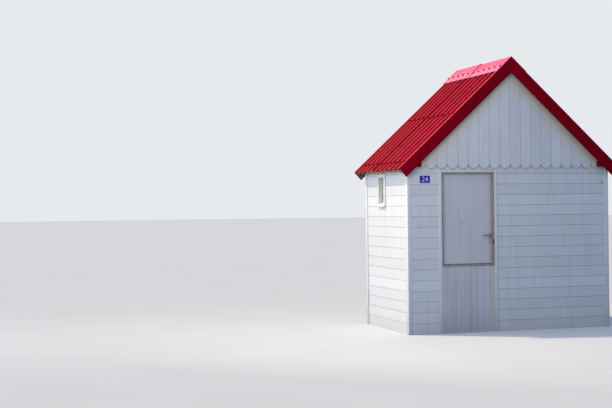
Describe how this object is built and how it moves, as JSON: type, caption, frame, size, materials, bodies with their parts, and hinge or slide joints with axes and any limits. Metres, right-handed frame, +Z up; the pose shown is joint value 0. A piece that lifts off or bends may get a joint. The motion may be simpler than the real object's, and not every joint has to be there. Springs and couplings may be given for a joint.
{
  "type": "beach hut",
  "caption": "Small timber beach hut with a steep corrugated roof, scalloped gable boards, bargeboards, one boarded doorway with a leaf that opens inwards, and one fixed side window.",
  "frame": {"origin": "middle of the plan, on the ground under the walls", "axes": "+X to the right along the front as seen from outside, -Y out of the front with the door, +Z up"},
  "size_m": [3.3828, 1.884, 3.828],
  "materials": {
    "white_painted_boards": "matt exterior paint, weathered",
    "red_painted_wood": "satin exterior paint",
    "red_corrugated_sheet": "satin paint on fibre cement",
    "bare_framing": "sawn, unpainted",
    "weathered_frame": "bare weathered hardwood",
    "door_paint": "satin exterior paint, slightly dirty",
    "dark_iron": "dark lacquered",
    "zinc_hinge": "zinc plated",
    "brass_keep": "dull",
    "pane": "clear",
    "blue_enamel": "glossy enamel on steel"
  },
  "bodies": {
    "hut": {"base_bearers": "bare_framing", "floor_joists": "bare_framing", "floor_boards": "bare_framing", "sole_plates": "bare_framing", "wall_posts": "bare_framing", "wall_plates": "red_painted_wood", "tie_beams": "bare_framing", "ridge_beam": "bare_framing", "purlins": "bare_framing", "gable_frames": "bare_framing", "left_wall": "white_painted_boards", "right_wall": "white_painted_boards", "back_wall": "white_painted_boards", "front_wall_left": "white_painted_boards", "front_wall_right": "white_painted_boards", "front_wall_over_door": "white_painted_boards", "lower_panel": "door_paint", "corner_boards": "white_painted_boards", "eave_friezes": "weathered_frame", "gable_boards_front": "white_painted_boards", "gable_boards_back": "white_painted_boards", "bargeboard_front_left": "red_painted_wood", "bargeboard_front_right": "red_painted_wood", "bargeboard_back_left": "red_painted_wood", "bargeboard_back_right": "red_painted_wood", "roof_sheet_left_front": "red_corrugated_sheet", "roof_sheet_left_back": "red_corrugated_sheet", "roof_sheet_right_front": "red_corrugated_sheet", "roof_sheet_right_back": "red_corrugated_sheet", "ridge_cap_front": "red_corrugated_sheet", "ridge_cap_back": "red_corrugated_sheet", "door_jambs": "weathered_frame", "door_head": "weathered_frame", "door_sill": "weathered_frame", "door_casing_sides": "white_painted_boards", "door_casing_head": "white_painted_boards", "hinges_on_frame": "zinc_hinge", "keep_plate": "brass_keep", "window_frame": "white_painted_boards", "window_glass": "pane", "window_sill": "white_painted_boards", "number_plate": "blue_enamel"},
    "door": {"door_leaf": "door_paint", "hinges_on_leaf": "zinc_hinge", "lever_plates": "dark_iron"},
    "lever": {"lever_handles": "dark_iron"}
  },
  "joints": [
    {"name": "door_swing", "type": "hinge", "parent": "hut", "child": "door", "pos_m": [-1.024, -0.751, 0], "axis": [0, 0, 1], "range_deg": [0, 100]},
    {"name": "lever_turn", "type": "hinge", "parent": "door", "child": "lever", "pos_m": [-0.301, -0.78, 1.335], "axis": [0, -1, 0], "range_deg": [0, 40], "stiffness_Nm_per_rad": 1.2}
  ]
}
